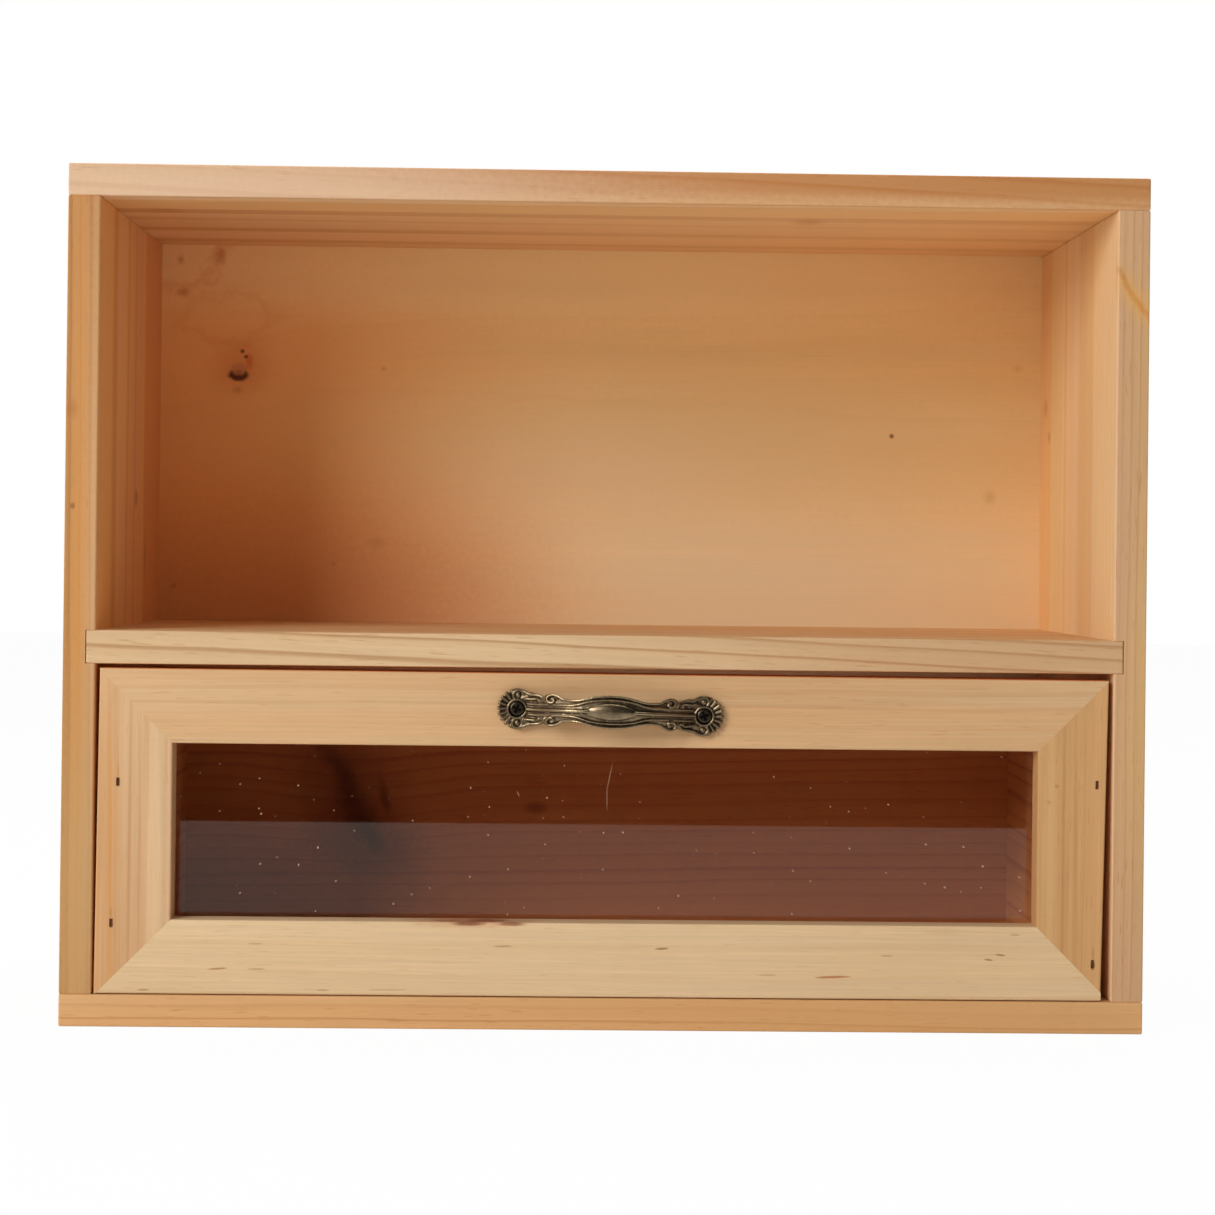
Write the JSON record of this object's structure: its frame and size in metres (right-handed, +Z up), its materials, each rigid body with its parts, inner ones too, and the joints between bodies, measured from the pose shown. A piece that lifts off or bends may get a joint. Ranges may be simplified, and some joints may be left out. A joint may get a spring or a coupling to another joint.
{
  "type": "open-shelf desk cabinet with a glass-fronted drawer",
  "caption": "Natural pine desk cabinet: an open compartment above a shelf, and below it a wide drawer with a mitred frame front, a clear glass pane and a cast bronze pull.",
  "frame": {"origin": "middle of the underside of the bottom board, half way across its width and its depth", "axes": "+X to the right along the width, +Y towards the back panel, +Z up; the drawer and its pull face -Y"},
  "size_m": [0.31, 0.1323, 0.246],
  "materials": {
    "case_pine": "planed pine, bare",
    "panel_pine": "planed pine, bare",
    "front_pine": "sanded pine, bare",
    "drawer_pine": "planed pine, bare",
    "brad_steel": "dull wire",
    "window_glass": "clear",
    "antique_bronze": "antique bronze, rubbed bright on high spots",
    "screw_bronze": "blackened bronze plating"
  },
  "bodies": {
    "case": {"case_top": "case_pine", "case_bottom": "case_pine", "case_left_side": "case_pine", "case_right_side": "case_pine", "shelf": "case_pine", "back_panel": "panel_pine", "top_brads": "brad_steel", "bottom_brads": "brad_steel", "shelf_brads": "brad_steel", "back_panel_brads": "brad_steel"},
    "drawer": {"front_top_rail": "front_pine", "front_bottom_rail": "front_pine", "front_left_stile": "front_pine", "front_right_stile": "front_pine", "window_glass": "window_glass", "glazing_points": "brad_steel", "drawer_left_side": "drawer_pine", "drawer_right_side": "drawer_pine", "drawer_back": "drawer_pine", "drawer_floor": "drawer_pine", "front_brads": "brad_steel", "drawer_back_brads": "brad_steel", "drawer_floor_brads": "brad_steel", "pull_handle": "antique_bronze", "pull_left_screw": "screw_bronze", "pull_right_screw": "screw_bronze"}
  },
  "joints": [
    {"name": "drawer_slide", "type": "slide", "parent": "case", "child": "drawer", "axis": [0, -1, 0], "range_m": [0, 0.1]}
  ]
}
